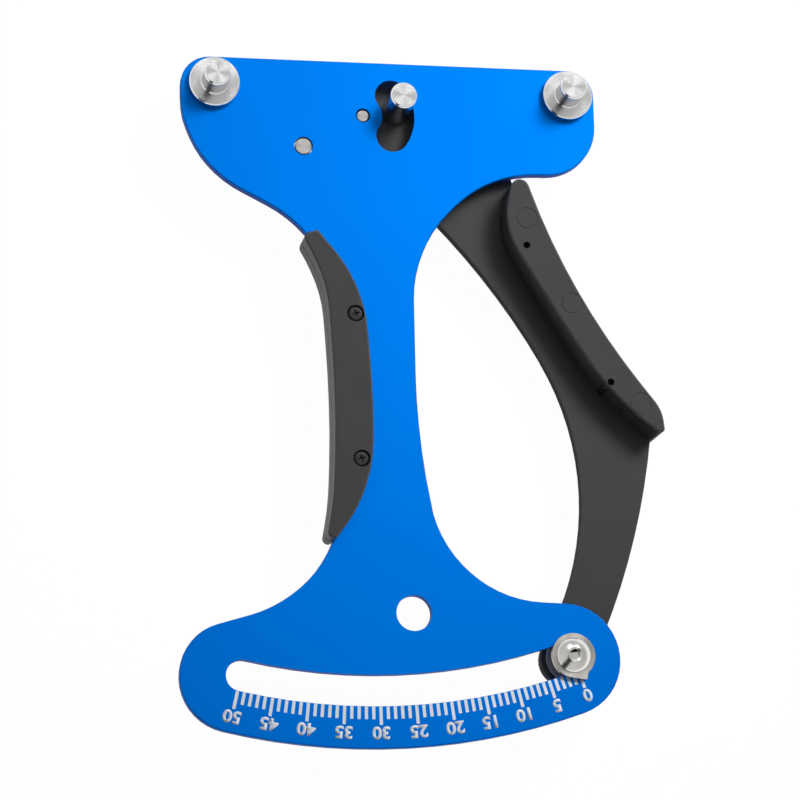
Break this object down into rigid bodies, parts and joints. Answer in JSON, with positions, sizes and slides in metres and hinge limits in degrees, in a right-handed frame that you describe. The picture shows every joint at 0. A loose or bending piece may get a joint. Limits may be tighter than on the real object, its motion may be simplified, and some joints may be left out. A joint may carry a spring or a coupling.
{
  "type": "spoke tension meter",
  "caption": "Hand tool that gauges spoke tension: a flat frame with posts and a scale slot, and a sprung lever with a grip and pointer.",
  "frame": {"origin": "on the pivot's axis, at the flat back of the pivot's head, the face that the tool rests on", "axes": "+Z out of the face with the scale, +Y towards the end with the three posts, +X from the left post to the right post"},
  "size_m": [0.1304, 0.1873, 0.026],
  "materials": {
    "painted_blue": "smooth bright blue coating",
    "black_paint": "satin black coating",
    "grip_plastic": "fine matt black moulding",
    "turned_steel": "turned and plated",
    "black_screw": "black oxide",
    "nylon": "dark grey moulding",
    "spring_steel": "drawn wire"
  },
  "bodies": {
    "frame": {"frame_plate": "painted_blue", "frame_grip_front": "grip_plastic", "frame_grip_back": "grip_plastic", "left_post": "turned_steel", "right_post": "turned_steel", "pivot_pin": "turned_steel", "pivot_washer": "turned_steel", "spring_anchor_pin": "turned_steel", "left_post_screw": "black_screw", "right_post_screw": "black_screw", "frame_grip_screw_1": "black_screw", "frame_grip_screw_2": "black_screw", "spring_bush": "nylon", "torsion_spring": "spring_steel"},
    "lever": {"lever_plate": "black_paint", "lever_grip_front": "grip_plastic", "lever_grip_back": "grip_plastic", "lever_grip_screw_1": "black_screw", "lever_grip_screw_2": "black_screw", "center_post": "turned_steel", "center_post_screw": "black_screw", "lever_spring_pin": "turned_steel", "pointer_plate": "turned_steel", "pointer_spacer": "turned_steel", "glide_washer": "nylon", "pointer_back_washer": "turned_steel", "pointer_nut": "turned_steel", "pointer_screw": "turned_steel"}
  },
  "joints": [
    {"name": "lever_hinge", "type": "hinge", "parent": "frame", "child": "lever", "pos_m": [0, 0, 0.01], "axis": [0, 0, 1], "range_deg": [-32, 0], "stiffness_Nm_per_rad": 0.8, "springref_deg": 20.05, "deforming": ["torsion_spring"]}
  ]
}
